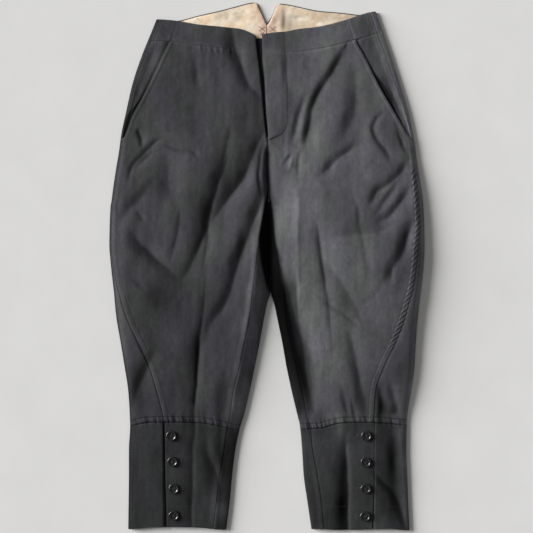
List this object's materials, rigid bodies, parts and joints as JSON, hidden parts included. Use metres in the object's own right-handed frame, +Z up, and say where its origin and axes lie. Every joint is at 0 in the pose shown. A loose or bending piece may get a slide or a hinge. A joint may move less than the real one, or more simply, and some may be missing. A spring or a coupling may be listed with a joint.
{
  "type": "balloon trousers",
  "caption": "Full-hipped balloon trousers laid flat, with tall buttoned cuffs, slanted pockets, a fly and a raised, notched back waistband with a light lining.",
  "frame": {"origin": "middle of the laid-out garment's bounding box, on the surface it lies on", "axes": "+Y from the hems to the waist, +Z up out of the fronts, +X to the wearer's left"},
  "size_m": [0.5159, 0.864, 0.0184],
  "materials": {
    "black_twill": "washed black cotton twill with a soft sheen",
    "cuff_twill": "black cotton twill, less faded",
    "cream_lining": "cream cotton lining, yellowed with age",
    "black_button": "glossy black, moulded"
  },
  "bodies": {
    "root": {"back_left": "black_twill", "back_right": "black_twill", "button_left_1": "black_button", "button_left_2": "black_button", "button_left_3": "black_button", "button_left_4": "black_button", "button_right_1": "black_button", "button_right_2": "black_button", "button_right_3": "black_button", "button_right_4": "black_button", "cuff_back_left": "cuff_twill", "cuff_back_right": "cuff_twill", "cuff_front_left": "cuff_twill", "cuff_front_right": "cuff_twill", "fly": "black_twill", "fly_shield": "black_twill", "front_left": "black_twill", "front_right": "black_twill", "pocket_facing_left": "black_twill", "pocket_facing_right": "black_twill", "waistband_back_left": "black_twill", "waistband_back_right": "black_twill", "waistband_front_left": "black_twill", "waistband_front_right": "black_twill", "waistband_lining_left": "cream_lining", "waistband_lining_right": "cream_lining"}
  },
  "joints": []
}
